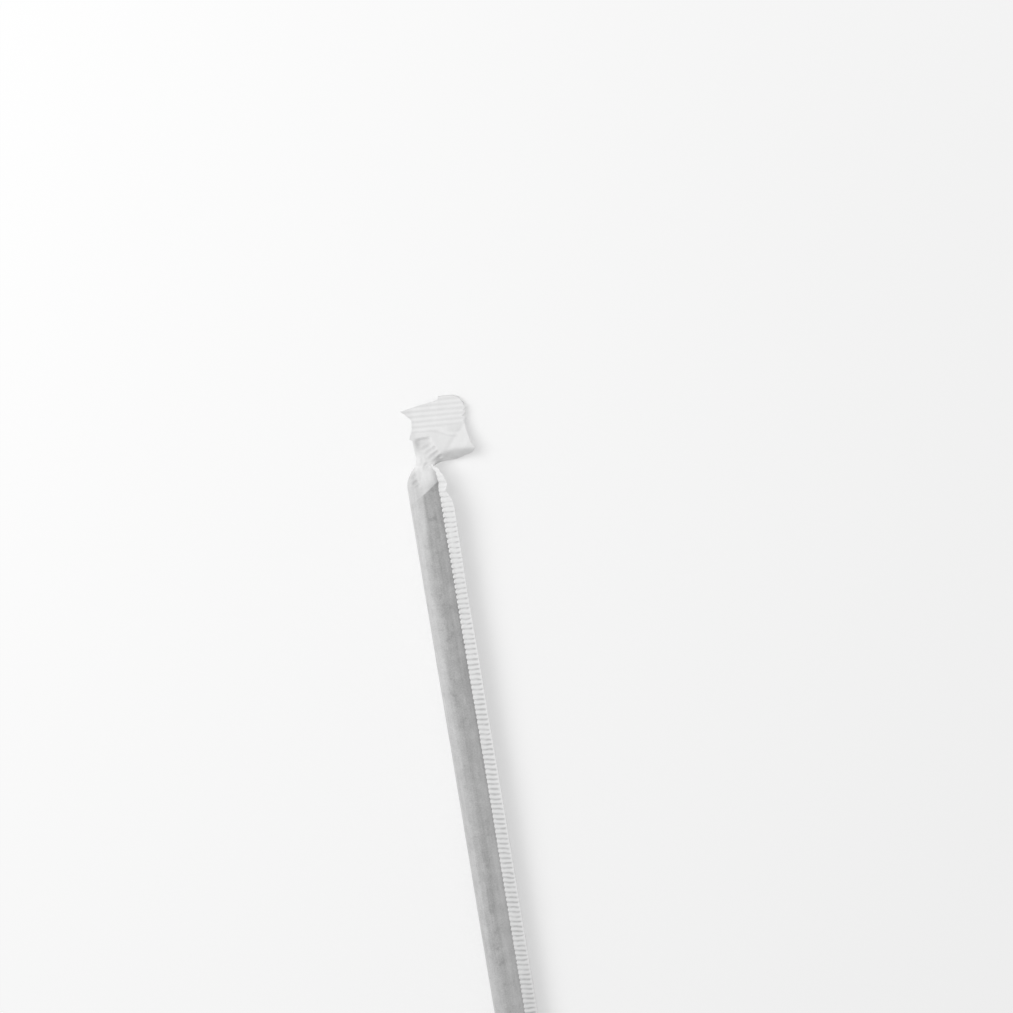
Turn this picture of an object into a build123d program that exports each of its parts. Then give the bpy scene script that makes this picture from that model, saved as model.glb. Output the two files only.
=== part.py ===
from build123d import *
import math
import os

os.makedirs("parts", exist_ok=True)

# A drinking straw sealed in its paper wrapper, lying on a table, in millimetres.
# The straw lies along Y and the crumpled end points to +Y. Z = 0 is the table, under the sleeve's flat spot.

# Straw, a plain extruded tube
straw_diameter = 6.0
straw_wall = 0.2
straw_length = 197.0

# Paper sleeve, a close fit round the straw
paper_thickness = 0.12
straw_clearance = 0.1
rim_clearance = 0.6
rest_width = 2.4

# Crimps, the zigzag ridges that hold two layers of paper together
crimp_pitch = 1.0
crimp_height = 0.3

# Fin, the crimped seam along the side of the sleeve
fin_width = 2.4
fin_angle = 38.0
fin_droop = 12.0
fin_root_reach = 0.25

# End seals, crimped across the flattened tube and the fin together
seal_width = 12.1
seal_depth = 7.5
seal_overlap = 0.6

# Plain end: the tube flattens straight out to its seal
plain_shoulder_length = 6.5

# Crumpled end: the tube is gathered to a neck, and the seal past it is pushed aside and folded down
gathers = 9
gather_depth = 0.16
shoulder_length = 1.9
shoulder_fullness = 0.9
neck_distance = 4.7
neck_width = 3.7
neck_height = 1.9
neck_offset = 0.9
neck_lift = 0.3
spread_distance = 2.2
spread_left = -1.3
spread_right = 9.2
spread_height = 1.3

# Flap, the seal of the crumpled end
flap_distance = 5.3
flap_left = -2.5
flap_turn = 3.0
flap_lean = 14.0
flap_curl = 1.7
flap_tip_drop = 1.3
flap_step_place = 7.6
flap_step = 0.7
flap_top_slope = 11.0
flap_corner_radius = 1.5

# Folded corner beside the neck
fold_reach = 0.5
fold_length = 3.6
fold_width = 6.2
fold_drop = 0.7

# Values that follow from the sizes above
straw_radius = straw_diameter / 2
sleeve_radius = straw_radius + straw_clearance + paper_thickness
axis_height = sleeve_radius
sleeve_end = straw_length / 2 + rim_clearance
two_layers = 2 * paper_thickness
seal_height = crimp_height + two_layers
tube_flat_width = seal_width - fin_width
sleeve_width = 2 * sleeve_radius
fin_root_radius = sleeve_radius + fin_root_reach
fin_root_height = seal_height + paper_thickness
fin_root_x = fin_root_radius * math.cos(math.radians(fin_angle))
fin_root_z = axis_height + fin_root_radius * math.sin(math.radians(fin_angle))
fin_across = Vector(1, 0, 0).rotate(Axis.Y, fin_droop)
neck = Vector(neck_offset, straw_length / 2 + neck_distance, axis_height + neck_lift)
flap_across = Vector(1, 0, 0).rotate(Axis.Z, -flap_turn)
flap_out = Vector(0, 1, 0).rotate(Axis.X, -flap_lean).rotate(Axis.Z, -flap_turn)
flap_corner = Vector(flap_left, neck.Y, neck.Z) + flap_out * flap_distance
flap_middle = flap_corner + flap_across * (flap_curl + seal_width) / 2


def across_plane(x, y, z):
    """A plane across the straw at y, with its own y axis upwards."""
    return Plane(origin=(x, y, z), x_dir=(1, 0, 0), z_dir=(0, -1, 0))


def crimp_edge(plane, length):
    """The zigzag edge of a crimped strip, two layers thick, that runs along the plane's x from its origin."""
    half_waves = max(2, round(2 * length / crimp_pitch))
    step = length / half_waves
    crests = [(k * step, crimp_height / 2 * (-1) ** k) for k in range(half_waves + 1)]
    under = [(s, h - two_layers / 2) for s, h in crests]
    over = [(s, h + two_layers / 2) for s, h in reversed(crests)]
    with BuildSketch(plane) as edge:
        with BuildLine():
            Polyline(*under, *over, close=True)
        make_face()
    return edge.sketch


def fin_edge(start, end):
    """The zigzag edge of a stretch of fin from start to end, sunk by one layer of paper into what carries it."""
    along = (end - start).normalized()
    across = (fin_across - along * fin_across.dot(along)).normalized()
    plane = Plane(origin=start - across * paper_thickness, x_dir=along, z_dir=across)
    return crimp_edge(plane, (end - start).length)


def flat_ring(x, y, z, width, height):
    """The paper tube's outline across the straw at y, more or less flattened."""
    with BuildSketch(across_plane(x, y, z)) as ring:
        Ellipse(width / 2, height / 2)
    return ring.sketch


def gathered_ring(x, y, z, width, height, depth):
    """The paper tube's outline across the straw at y, drawn in by gathers of the given share of its size."""
    points = []
    for k in range(2 * gathers):
        angle = math.pi * k / gathers
        reach = 1 + depth * ((-1) ** k - 1) / 2
        points.append((reach * width / 2 * math.cos(angle), reach * height / 2 * math.sin(angle)))
    with BuildSketch(across_plane(x, y, z)) as ring:
        with BuildLine():
            Polyline(*points, close=True)
        make_face()
    return ring.sketch


# Straw
with BuildPart() as straw:
    with BuildSketch(across_plane(0, 0, axis_height)):
        Circle(straw_radius)
        Circle(straw_radius - straw_wall, mode=Mode.SUBTRACT)
    extrude(amount=straw_length / 2, both=True)

# Flap: the ridged seal of the crumpled end, cut unevenly along its top, with one corner rounded
flap_top_left = seal_depth - flap_step_place * math.tan(math.radians(flap_top_slope))
flap_start = flap_corner - flap_out * seal_overlap
with BuildPart() as flap:
    flap_plane = Plane(origin=flap_start, x_dir=flap_out, z_dir=flap_across)
    extrude(crimp_edge(flap_plane, seal_overlap + seal_depth + flap_step), amount=seal_width)
    with BuildSketch(Plane(origin=flap_corner, x_dir=flap_across, z_dir=flap_across.cross(flap_out))):
        with BuildLine():
            Polyline(
                (flap_curl, -seal_overlap),
                (seal_width, -seal_overlap),
                (seal_width, seal_depth + flap_step - flap_corner_radius),
            )
            RadiusArc(
                (seal_width, seal_depth + flap_step - flap_corner_radius),
                (seal_width - flap_corner_radius, seal_depth + flap_step),
                -flap_corner_radius,
            )
            Polyline(
                (seal_width - flap_corner_radius, seal_depth + flap_step),
                (flap_step_place, seal_depth + flap_step),
                (flap_step_place, seal_depth),
                (0, flap_top_left),
                (flap_curl, flap_top_left - flap_tip_drop),
                (flap_curl, -seal_overlap),
            )
        make_face()
    extrude(amount=seal_height, both=True, mode=Mode.INTERSECT)

# Folded corner: a triangle of paper, turned down beside the neck
fold_top = flap_corner + flap_across * seal_width
fold_tip = fold_top + flap_across * fold_reach - flap_out * fold_length - Vector(0, 0, fold_drop)
fold_root = fold_top - flap_across * fold_width - flap_out * fold_length
with BuildPart() as folded_corner:
    fold_plane = Plane(
        origin=fold_root, x_dir=fold_top - fold_root, z_dir=(fold_tip - fold_root).cross(fold_top - fold_root)
    )
    with BuildSketch(fold_plane):
        with BuildLine():
            Polyline(*[fold_plane.to_local_coords(p) for p in (fold_root, fold_tip, fold_top)], close=True)
        make_face()
    extrude(amount=two_layers, both=True)

# Paper wrapper
with BuildPart() as paper_wrapper:
    # Sleeve: a ring round the straw, a flat spot on the table and the ridge that the fin grows from
    with BuildSketch(across_plane(0, 0, 0)):
        with Locations((0, axis_height)):
            Circle(sleeve_radius)
        with Locations((0, paper_thickness / 2)):
            Rectangle(rest_width, paper_thickness)
        with Locations(Location((fin_root_x, fin_root_z), -fin_droop)):
            Rectangle(fin_root_height, fin_root_height, align=(Align.MAX, Align.CENTER))
        make_hull()
    extrude(amount=sleeve_end, both=True)

    # Fin: a straight stretch beside the straw
    fin_start = Vector(fin_root_x, -sleeve_end, fin_root_z)
    fin_end = Vector(fin_root_x, sleeve_end, fin_root_z)
    fin_bend = Vector(0, crimp_pitch / 2, 0)
    extrude(fin_edge(fin_start, fin_end + fin_bend), amount=fin_width + paper_thickness)

    # Plain end: a flattened shoulder, the fin beside it and the straight seal
    seal_y = -sleeve_end - plain_shoulder_length
    loft(
        [
            flat_ring(0, -sleeve_end, axis_height, sleeve_width, sleeve_width),
            flat_ring(0, seal_y - seal_overlap, axis_height, tube_flat_width, seal_height),
        ],
        ruled=True,
    )
    fin_tail = Vector(tube_flat_width / 2, seal_y - seal_overlap, axis_height)
    extrude(fin_edge(fin_start, fin_tail), amount=fin_width + paper_thickness)
    seal_plane = Plane(origin=(-tube_flat_width / 2, seal_y, axis_height), x_dir=(0, -1, 0), z_dir=(1, 0, 0))
    extrude(crimp_edge(seal_plane, seal_depth), amount=seal_width)

    # Crumpled end: a rounded shoulder, the gathered neck and the paper that spreads out to the flap
    shoulder_width = shoulder_fullness * sleeve_width
    spread_width = spread_right - spread_left
    loft(
        [
            gathered_ring(0, sleeve_end, axis_height, sleeve_width, sleeve_width, 0),
            gathered_ring(
                0, sleeve_end + shoulder_length, axis_height, shoulder_width, shoulder_width, gather_depth / 2
            ),
            gathered_ring(*neck, neck_width, neck_height, gather_depth),
            gathered_ring(
                (spread_left + spread_right) / 2,
                neck.Y + spread_distance,
                neck.Z + flap_out.Z * spread_distance,
                spread_width,
                spread_height,
                gather_depth / 2,
            ),
            gathered_ring(*flap_middle, seal_width - flap_curl, seal_height, 0),
        ],
        ruled=True,
    )
    fin_neck = neck + Vector(neck_width, 0, neck_height) / 4
    extrude(fin_edge(fin_end, fin_neck), amount=fin_width + paper_thickness)
    add(folded_corner.part)
    add(flap.part)

    # Hollow for the straw
    with BuildSketch(across_plane(0, 0, axis_height)):
        Circle(straw_radius + straw_clearance)
    extrude(amount=sleeve_end, both=True, mode=Mode.SUBTRACT)

straw.part.label = "straw"
export_step(straw.part, "parts/straw.step")
paper_wrapper.part.label = "paper_wrapper"
export_step(paper_wrapper.part, "parts/paper_wrapper.step")
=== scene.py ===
"""The looks of a drinking straw in its crimped paper wrapper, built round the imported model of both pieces."""

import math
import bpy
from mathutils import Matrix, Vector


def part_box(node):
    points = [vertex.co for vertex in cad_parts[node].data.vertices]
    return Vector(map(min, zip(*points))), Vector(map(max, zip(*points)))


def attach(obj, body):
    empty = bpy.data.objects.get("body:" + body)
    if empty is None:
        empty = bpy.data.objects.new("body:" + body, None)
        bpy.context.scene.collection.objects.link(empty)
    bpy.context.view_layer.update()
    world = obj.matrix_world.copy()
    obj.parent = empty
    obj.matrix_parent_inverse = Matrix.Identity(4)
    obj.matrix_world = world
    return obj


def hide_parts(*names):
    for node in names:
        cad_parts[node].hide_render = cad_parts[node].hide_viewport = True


bl_info = {
    "name": "Wrapped drinking straw",
    "version": (1, 0, 0),
    "blender": (4, 5, 0),
    "location": "3D View > Sidebar > Straw",
    "description": "Folds a crimped paper wrapper round a drinking straw and lays it on a white table",
    "category": "Add Mesh",
}

import bmesh
import bpy
from bpy.props import FloatProperty, FloatVectorProperty, PointerProperty
from mathutils import Matrix, Vector, noise

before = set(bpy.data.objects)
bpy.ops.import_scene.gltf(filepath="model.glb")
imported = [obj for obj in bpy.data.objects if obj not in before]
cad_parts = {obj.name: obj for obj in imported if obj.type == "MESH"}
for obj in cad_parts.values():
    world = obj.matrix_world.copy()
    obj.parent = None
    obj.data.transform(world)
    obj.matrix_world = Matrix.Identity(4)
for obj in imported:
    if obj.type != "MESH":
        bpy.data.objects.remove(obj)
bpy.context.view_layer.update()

# The form is worked out in millimetres and scaled to the frame's metres at the end.
MM = 0.001
STRAW_LOW, STRAW_HIGH = (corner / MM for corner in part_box("straw"))
WRAPPER_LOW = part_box("paper_wrapper")[0] / MM
STRAW_RADIUS = (STRAW_HIGH.x - STRAW_LOW.x) / 2
STRAW_END = STRAW_HIGH.y
AXIS_HEIGHT = (STRAW_LOW.z + STRAW_HIGH.z) / 2

# In the values below, X runs towards the fin's side, and past is Y past the straw's rim at the crumpled end.
# A pair is where a thing starts and where it is complete, and four values also give where it fades and ends.
# A band is its middle and width. A ripple is its height, how fast it varies along each axis and its start.

# Mesh: faces across the upper side, the share of a narrow one at each rim, and how much coarser the lower is
SHEET_COLUMNS = 76
SHEET_RIM = 0.004
SHEET_COARSER = 2
FIN_COLUMNS = 15
FIN_RIM = 0.02
FIN_COARSER = 3
FIN_ROWS_PER_CRIMP = 12
RIDGED_STEP = 0.1
PLAIN_SHOULDER_STEP = 0.3
SLEEVE_STEP = 1.6
NEAR_RIM_STEP = 0.2
NEAR_RIM_LENGTH = 5
WALL_SEGMENTS = 48
WELD_DISTANCE = 1e-4

# Sleeve on the straw, with the angles of its two lines
SLEEVE_STAND_OFF = 0.22
SLACK = (0.05, (1.3, 0.035, 1.3), 0)
FINE_SLACK = (0.02, (4, 0.16, 4), 0)
SLACK_GROWS = (0, 6)
FOLD_BAND = (math.pi, 0.2)
ROOT_RIDGE = 0.16
ROOT_RIDGE_BAND = (math.radians(42), 0.26)

# Plain end
FLATTEN_EASE = 0.6
TUBE_SPREADS = (0.3, 1)
SECTION_FLATTENS = (0.5, 1)
ROUND_POWER = 0.5
PLAIN_SEAL_POWER = 0.12
SEAL_BEGINS = (-0.1, 0.3)
SEAL_WIDENS = (0, 0.25)
SEAL_CREST = 0.1
TIP_RIDGES = (-0.1, 0.5)
TIP_CUT = (0, 0.06)
PLAIN_SAG = (0.10, (0.25, 0.2), 3.0)
PLAIN_SOFT = (0.06, (0.8, 0.5, 2.0), 0)

# Shoulder and neck
NECK_HALF = 0.95
NECK_LIFT = 0.3
NECK_SPREAD = 0.5
LEFT_DRAW = 1.9
RIGHT_DRAW = 1.5
HEIGHT_DRAW = 1.6
GATHERS = 4.5
GATHER_DEPTH = 0.03
GATHER_TWIST = 0.6
GATHERS_GROW = (0.2, 1)
GATHERS_END = (0, 0.2)
FIN_PULL = 0.5
PULL_GROWS = (0.45, 0.92)
PULL_RIM = (0, 0.06)
DENTS = ((0.05, (0.55, 0.5), 1.5), (0.02, (1.5, 1.4), 4.0))

# Dents and creases round the neck, each from one end to the other, with its width and depth
NECK_CREASES = (
    ((-2.65, 1.85), (-0.95, 3.85), 0.34, 0.42),
    ((-2.6, 1.0), (-0.95, 2.35), 0.32, 0.46),
    ((-2.1, 0.45), (-0.6, 1.5), 0.28, 0.22),
    ((-0.7, 1.4), (-0.1, 4.4), 0.32, 0.12),
    ((0.9, 1.3), (0.9, 4.2), 0.30, 0.05),
    ((2.3, 1.8), (1.6, 4.2), 0.30, 0.06),
    ((0.4, 4.8), (0.1, 6.6), 0.30, 0.08),
    ((0.7, 3.2), (1.2, 5.3), 0.55, 0.20),
)
CREASE_RUN = (0, 0.4, 0.6, 1)

# Flap, seen from above: (X, past) along its two sides, its cut top and its folds
FLAP_LEFT = ((-1.1, 4.5), (-0.8, 6.0), (-0.95, 7.5), (-0.95, 9.2), (-1.5, 9.6), (-0.85, 11.0), (-0.6, 13.1),
             (-2.4, 15.0))
FLAP_RIGHT = ((2.3, 4.1), (4.3, 4.3), (6.6, 4.2), (8.0, 4.6), (9.8, 5.2), (10.7, 6.3), (10.1, 7.1),
              (9.7, 9.0), (9.4, 10.8), (9.5, 12.5), (9.9, 13.7), (9.9, 14.6))
FLAP_TOP = ((-2.4, 15.0), (5.0, 16.0), (5.2, 16.7), (8.0, 16.5), (9.0, 16.0), (9.9, 14.6))
FIN_FOLD = ((2.4, 9.6), (4.1, 6.2))
CORNER_FOLD = ((5.67, 7.08), (8.65, 10.4))
CORNER_FOOT = ((2.77, 5.53), (5.67, 7.08))
CORNER_BEND = ((6.45, 7.0), (10.0, 6.4))
SIDE_ROUNDING = 0.5
TOP_ROUNDING = 0.15

# Flap: its section, its nicked right edge, the puff past the neck and the curl of its left side
FLAP_SPREADS = (0, 0.3)
FLAP_FLATTENS = (0, 0.25)
FLAP_POWER = 0.1
FLAP_THINS = (0, 0.28)
TOP_CUT = (0, 0.012)
TOP_POWER = 3
EDGE_SETTLES = (0.1, 0.4)
TABLE_GAP = 0.02
NICK_DEPTH = 0.3
NICKED_EDGE = (0.97, 1)
NICKED_STRETCH = (0.78, 0.85)
LEAN_START = 0.8
PUFF_HEIGHT = 0.3
PUFF_BAND = (5.7, 0.9)
PUFF_BEGINS = (4.4, 5.2)
PUFF_ACROSS = (-1.0, 0.2, 1.6, 3.4)
CURL = 0.13
CURL_POWER = 1.5
CURL_BEGINS = (4.5, 6.5)

# Ridges of the flap, the hollow below them and the end of the fin that is folded over it
FIRST_RIDGE = 11.1
RIDGE_PITCH = 0.96
RIDGE_SLANT = 0.06
RIDGE_LEVEL_X = -0.5
RIDGES_START = (10.2, 10.6)
RIDGES_STOP = (0, 0.6)
BOW_DEPTH = 1.3
BOW_ACROSS = (2.3, 7.3)
BOW_ENDS = (9.6, 11.2)
HOLLOW_DEPTH = 0.5
HOLLOW_ACROSS = (-0.7, 0.4, 1.9, 2.9)
HOLLOW_PAST = (6.4, 8.6, 8.9, 9.8)
FIN_END_DEPTH = 0.16
FIN_END_ACROSS = (0, 0.4, 2.2, 3.6)
FIN_END_PAST = (4.6, 5.6, 8.8, 9.6)
SLANT_CRIMP = 0.09
SLANT_CREST = 0
SLANT_WAY = (0.407, -0.914)
SLANT_ACROSS = (0, 0.35, 1.8, 3.2)
SLANT_PAST = (4.5, 5.3, 7.6, 8.8)

# Corner of the flap that is folded down
CORNER_RISE = 0.2
CORNER_RISE_END = 2.5
CORNER_BEGINS = (2.3, 3.8)
FOOT_SOFTNESS = 1.2
ROLL_SOFTNESS = 0.45
ROLL_SLOPE = 1.4

# Painted shade, with some grey of pressed paper, in the valleys of the seals' ridges and of the slanting crimps
# and in the creases; painted shade alone in the hollow and along the corner's crease
CREASE_SHADE = 1.5
RIDGE_SHADE = 0.2
SEAL_SHADE_BEGINS = (0, 0.3)
SLANT_SHADE = 0.28
SLANT_SHADE_SWING = 0.26
HOLLOW_SHADE = 0.48
FOLD_SHADE = 0.3
FOLD_SHADE_BAND = (-0.3, 0.45)
FOLD_SHADE_ACROSS = (4.4, 6.0)
FOLD_SHADE_ENDS = (9.6, 10.8)

# Fin, from above: (past, X) of its root and of its outer edge, and (past, drop) of how far that edge hangs
FIN_ROOT = ((-3.4, 2.56), (-2.0, 2.80), (-1.2, 2.56), (0.0, 2.60), (1.0, 2.80), (2.6, 2.60), (4.4, 1.90))
FIN_EDGE = ((-60.0, 5.12), (-40.0, 5.0), (-22.0, 4.92), (-8.0, 4.98), (-4.6, 5.02), (-2.8, 4.90),
            (-1.6, 4.33), (-0.55, 3.80), (-0.15, 4.13), (0.65, 4.37), (1.85, 4.0), (3.3, 3.33), (4.4, 2.30))
FIN_DROOP = ((-110.0, 0.7), (-80.0, 0.15), (-60.0, -0.15), (-30.0, -0.15), (-12.0, -0.25), (-3.0, -0.45),
             (4.4, -0.5))

# Fin: its seat on the sleeve, on the shoulder and in the plain end, and its uneven edge
FIN_STAND_OFF = 0.12
FIN_ROOT_X = 2.65
WALL_MARGIN = 0.03
FIN_OVERLAP = 0.8
ROOT_OVER_NECK = 0.45
ROOT_DROPS = (-0.5, 4.2)
ROOT_SUNK = 0.02
SHOULDER_SUNK = 0.35
SHOULDER_SINKS = (-0.5, 0.6)
PLAIN_END_SUNK = 2.4
FIN_RIM_POWER = 12
FIN_SWAY = (0.12, (0.07,), 7.0)
SWAY_OUT = 0.4
SWAY_UP = 1.6
SCALLOP = 0.05
SCALLOPS_BEGIN = (-9, -3)
UNEVEN_EDGE = (0.03, (0.9,), 3.0)

# Crimps of the fin: pairs named for both parts hold a value for its lower part and one for its upper part
UPPER_PART = (-45, -6)
LOWER_CREST = 0.28
UPPER_CREST = 0.4
CRIMP_DRIFT = (0.16, (0.45, 2.2), 5.0)
CRIMP_LEAN = 0.5
CRIMP_LEAN_ENDS = (-85, -5)
EDGE_DRIFT = (0.26, (0.8,), 11.0)
EDGE_DRIFT_ACROSS = (0.6, 0.9)
VALLEY_DEPTH = 0.85
VALLEY_PATCHES = (0.6, (0.37, 1.6), 9.0)
VALLEY_FLECKS = (0.4, (1.1, 4), 2.0)
DEEPER = 0.2
DEEPER_BAND = (0.76, 0.12)
SHALLOWER = 0.6
SHALLOWER_BAND = (0.5, 0.2)
SHALLOWER_AT_RIM = 0.65
RIM_PART = (-6, 0.5)
FLAT_EDGE_OF_BOTH_PARTS = (0.85, 0.6)
FLAT_EDGE_ACROSS = (0.82, 0.93)
BEAD_OF_BOTH_PARTS = (0.1, 1)
BEAD_BAND = (0.07, 0.1)
BEAD_RISE = 1.6
BEAD_DIP = 1.7
# Painted shade in the fin's valleys, with some grey of pressed paper: stronger on the lower part, lighter by
# the root, and a grey band along the middle
VALLEY_SHADE_OF_BOTH_PARTS = (1.35, 1.0)
ROOT_LIGHTER = 0.6
ROOT_BAND = (0, 0.2)
MIDDLE_SHADE = 0.16
MIDDLE_BAND = (0.5, 0.3)

# Grey of the straw behind the paper, lightened towards the fin partly where the paper lifts off and partly by
# painted light, and along the fold partly by a painted highlight: pairs named for both ends hold a value far
# from the rim and one near it
NEAR_RIM = (-20, 2)
CLOSE_FROM_BOTH_ENDS = (-1.5, -0.45)
CLOSE_SOFTNESS_BOTH_ENDS = (1.5, 0.18)
CLOSE_GREY = 1.1
LOOSE_GREY_BOTH_ENDS = (0.78, 0.66)
LOOSE_CHANGES = (-90, -30)
LIFT_OFF_AND_PAINTED_LIGHT_BOTH_ENDS = (0.36, 0.2)
LIFT_OFF_AND_PAINTED_LIGHT_CHANGES = (-75, -35)
LIFT_OFF_AND_PAINTED_LIGHT_ACROSS = (-0.6, 2.6)
RIM_SLANT = 0.66
RIM_OFFSET = 0.43
RIM_BLUR = (-0.25, 0.15)
PLAIN_RIM_BLUR = (-0.2, 0.4)
SHOULDER_GREY = 0.56
SHOULDER_ENDS = (0.5, 7.0)
PLAIN_SHOULDER_BEGINS = (-5, 0)
LIGHTER_MIDDLE = 0.3
LIGHTER_MIDDLE_ACROSS = (-1.8, 0.4)
LIGHTER_CORNER = 0.26
LIGHTER_CORNER_ACROSS = (2.5, 4.0)
FOLD_GREY_WITH_HIGHLIGHT = 0.82
FOLD_HIGHLIGHT_ACROSS = (-3.25, -2.85)

# Paper: the scale and detail of its patterns, and their weights in its tone and in its felted surface
CLOUD_NOISE = (420, 3.0)
STREAK_NOISE = (1500, 2.0)
STREAK_STRETCH = (1.0, 0.05, 1.0)
FIBRE_NOISE = (3600, 2.0)
SPECK_NOISE = (900, 0.0)
SPECK_CUT = (0.66, 0.76)
NOISE_MIDDLE = 0.5
CLOUD_TONE = 1.0
STREAK_TONE = 0.9
FIBRE_TONE = 1.1
MOTTLE_BARE_AND_GREY = (0.12, 0.54)
SPECK_TONE = 0.12
# Weight of the pressed grey and painted shade of the valleys and creases in the paper's tone
PRESSED_AND_SHADED_TONE = 0.5
GREYING = 0.78
FIBRE_FELT = 0.6
CLOUD_FELT = 0.8
STREAK_FELT = 0.6
FELT_STRENGTH = 0.35
FELT_DEPTH = 0.05
PAPER_ROUGHNESS_RANGE = (0.84, 0.96)
PAPER_SPECULAR = 0.2

# Plastic of the straw, with its draw lines
DRAW_NOISE = (2600, 2.0)
DRAW_STRETCH = (1.0, 0.01, 1.0)
DRAW_LINE = (0.4, 0.7)
DRAW_STRENGTH = 0.2
DRAW_DEPTH = 0.02
STRAW_ROUGHNESS_RANGE = (0.38, 0.52)
STRAW_SPECULAR = 0.5

# Stage and picture, with the picture's width and the rim's place in it in pixels
WHITE = (1, 1, 1, 1)
WHITE_STRENGTH = 1.0
TABLE_HALF = 2000
TABLE_ROUGHNESS = 0.9
TABLE_SPECULAR = 0.0
KEY_TARGET_Y = 60
PICTURE_WIDTH = 1013
SENSOR_WIDTH = 36
CLIP_START = 10
RIM_PIXEL = Vector((425.5, 490.0))
RIM_INSET = 0.4

# Sockets of a Mix node that are for colours
MIX_FACTOR = 0
MIX_LOW = 6
MIX_HIGH = 7
MIX_RESULT = 2


def clamp(value, low=0.0, high=1.0):
    """The value, kept between low and high."""
    return max(low, min(high, value))


def ease(low, high, value):
    """0 at low, 1 at high and a smooth step between."""
    share = clamp((value - low) / (high - low))
    return share * share * (3 - 2 * share)


def stretch(limits, value):
    """1 over a stretch: rising from the first limit to the second, and falling from the third to the last."""
    start, complete, fading, end = limits
    return ease(start, complete, value) * (1 - ease(fading, end, value))


def mix(start, end, share):
    """A value between two, at a share of the way."""
    return start + (end - start) * share


def along(stations, place):
    """The value at a place, eased between the (place, value) stations of a list."""
    for (start, low), (end, high) in zip(stations, stations[1:]):
        if place <= end:
            return mix(low, high, ease(start, end, place))
    return stations[-1][1]


def hinge(value, softness):
    """0 well below no value and the value itself well above it, with a soft bend between."""
    return (value + math.hypot(value, softness)) / 2


def bell(distance, width):
    """1 at no distance, falling off smoothly over the width."""
    return math.exp(-((distance / width) ** 2))


def near(band, value):
    """1 in the middle of a band, falling off smoothly over its width."""
    middle, width = band
    return bell(value - middle, width)


def bulge(across, power):
    """1 halfway across and 0 at both rims: the lower the power, the flatter between."""
    return (4 * across * (1 - across)) ** power if 0 < across < 1 else 0


def crimp(distance, pitch, crest):
    """A pressed wave between -1 and 1 with a crest at 0, flat over a share of its pitch."""
    away = 2 * abs((distance / pitch + 0.5) % 1 - 0.5)
    return 1 - 2 * ease(crest, 1, away)


def ripple(kind, *place):
    """A smooth unevenness up to about its height, the same on each run."""
    height, rates, start = kind
    spot = [value * rate for value, rate in zip(place, rates)]
    x, y, z = (*spot, start, 0.0)[:3]
    return height * noise.noise(Vector((x, y, z)))


def side_of(line, x, y):
    """How far a point lies to the right of a line that runs from its first point to its second."""
    (x0, y0), (x1, y1) = line
    length = math.hypot(x1 - x0, y1 - y0)
    return ((y1 - y0) * (x - x0) - (x1 - x0) * (y - y0)) / length


def crease_depth(crease, x, y):
    """How deep a crease lies at a point: deepest along its line, and running out at its two ends."""
    (x0, y0), (x1, y1), width, depth = crease
    run = Vector((x1 - x0, y1 - y0))
    offset = Vector((x - x0, y - y0))
    share = clamp(offset.dot(run) / run.length_squared)
    distance = (offset - run * share).length
    return depth * bell(distance, width) * stretch(CREASE_RUN, share)


def even_shares(count, rim):
    """Shares of the way across a face, evenly spaced but for a narrow one along each rim."""
    return [0, *(mix(rim, 1 - rim, k / (count - 2)) for k in range(count - 1)), 1]


def round_section(over, coarser):
    """Shares of the way round a flat section, from those across its upper face; its under face has fewer."""
    under = over[::coarser]
    return [share / 2 for share in over] + [1 - share / 2 for share in reversed(under[:-1])]


def fold_round(around):
    """Splits a share of the way round a flat section into the share of the way across and its face."""
    if around < 0.5:
        return 2 * around, 1
    return 2 - 2 * around, -1


def round_across(turn):
    """The share of the way across a round tube, at a share of the way over it."""
    return (1 - math.cos(math.pi * turn)) / 2


class Outline:
    """A smooth line through a few points, seen from above."""

    def __init__(self, points, rounding):
        self.points = [Vector(point) for point in points]
        self.rounding = rounding
        self.reach = [0.0]
        for start, end in zip(self.points, self.points[1:]):
            self.reach.append(self.reach[-1] + (end - start).length)

    def slope(self, k):
        """The line's direction through its point k, as long as the shorter run beside it."""
        before = self.points[max(k - 1, 0)]
        after = self.points[min(k + 1, len(self.points) - 1)]
        here = self.points[k]
        runs = [run for run in ((here - before).length, (after - here).length) if run > 0]
        return (after - before).normalized() * min(runs) * self.rounding

    def at(self, share):
        """The point at a share of the line's length."""
        distance = clamp(share) * self.reach[-1]
        k = 0
        while k < len(self.points) - 2 and self.reach[k + 1] < distance:
            k += 1
        part = (distance - self.reach[k]) / (self.reach[k + 1] - self.reach[k])
        start, end = self.points[k], self.points[k + 1]
        bow = self.slope(k) * part * (1 - part) ** 2 - self.slope(k + 1) * part * part * (1 - part)
        return start.lerp(end, mix(part, ease(0, 1, part), self.rounding)) + bow


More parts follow.
